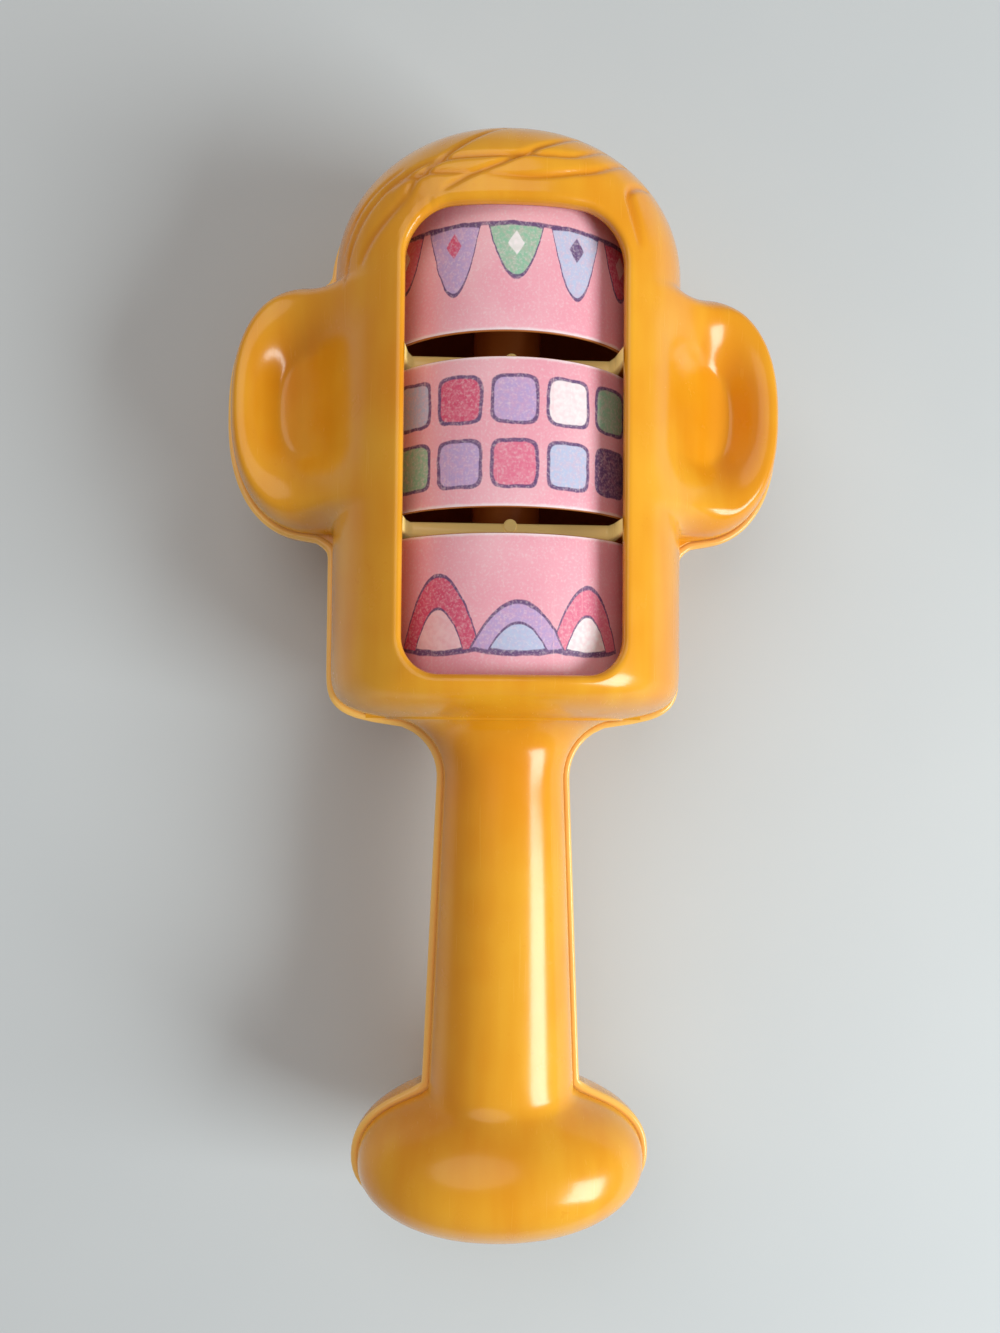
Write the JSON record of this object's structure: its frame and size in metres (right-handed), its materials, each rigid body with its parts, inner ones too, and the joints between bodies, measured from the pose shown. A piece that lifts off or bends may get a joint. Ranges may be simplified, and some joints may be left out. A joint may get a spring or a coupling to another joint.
{
  "type": "rotating face puzzle rattle",
  "caption": "Hand rattle with an eared head, a tall window over turning picture drums on a shared axle, and a flared handle whose knob end holds loose pellets.",
  "frame": {"origin": "under the middle of the toy, on the surface that it lies on, with its back down", "axes": "+X to the ear on the viewer's right, +Y from the knob to the crown, along the drums' axle, +Z out of the face"},
  "size_m": [0.0998, 0.1922, 0.0527],
  "materials": {
    "shell": "glossy moulded orange-yellow plastic",
    "drum": "cream moulded plastic",
    "label": "printed pink sleeve",
    "axle": "plain moulded rod",
    "pellet": "plain moulded bead"
  },
  "bodies": {
    "shell": {"front_shell": "shell", "back_shell": "shell", "axle": "axle"},
    "top_roller": {"top_drum": "drum", "top_label": "label"},
    "middle_roller": {"middle_drum": "drum", "middle_label": "label"},
    "bottom_roller": {"bottom_drum": "drum", "bottom_label": "label"},
    "pellets": {"rattle_pellets": "pellet"}
  },
  "joints": [
    {"name": "top_roller_spin", "type": "hinge", "parent": "shell", "child": "top_roller", "pos_m": [0, 0.0678, 0.026], "axis": [0, 1, 0], "continuous": true},
    {"name": "middle_roller_spin", "type": "hinge", "parent": "shell", "child": "middle_roller", "pos_m": [0, 0.0398, 0.026], "axis": [0, 1, 0], "continuous": true},
    {"name": "bottom_roller_spin", "type": "hinge", "parent": "shell", "child": "bottom_roller", "pos_m": [0, 0.0118, 0.026], "axis": [0, 1, 0], "continuous": true},
    {"name": "pellets_leap", "type": "slide", "parent": "shell", "child": "pellets", "axis": [0, 0, 1], "range_m": [0, 0.016]}
  ]
}
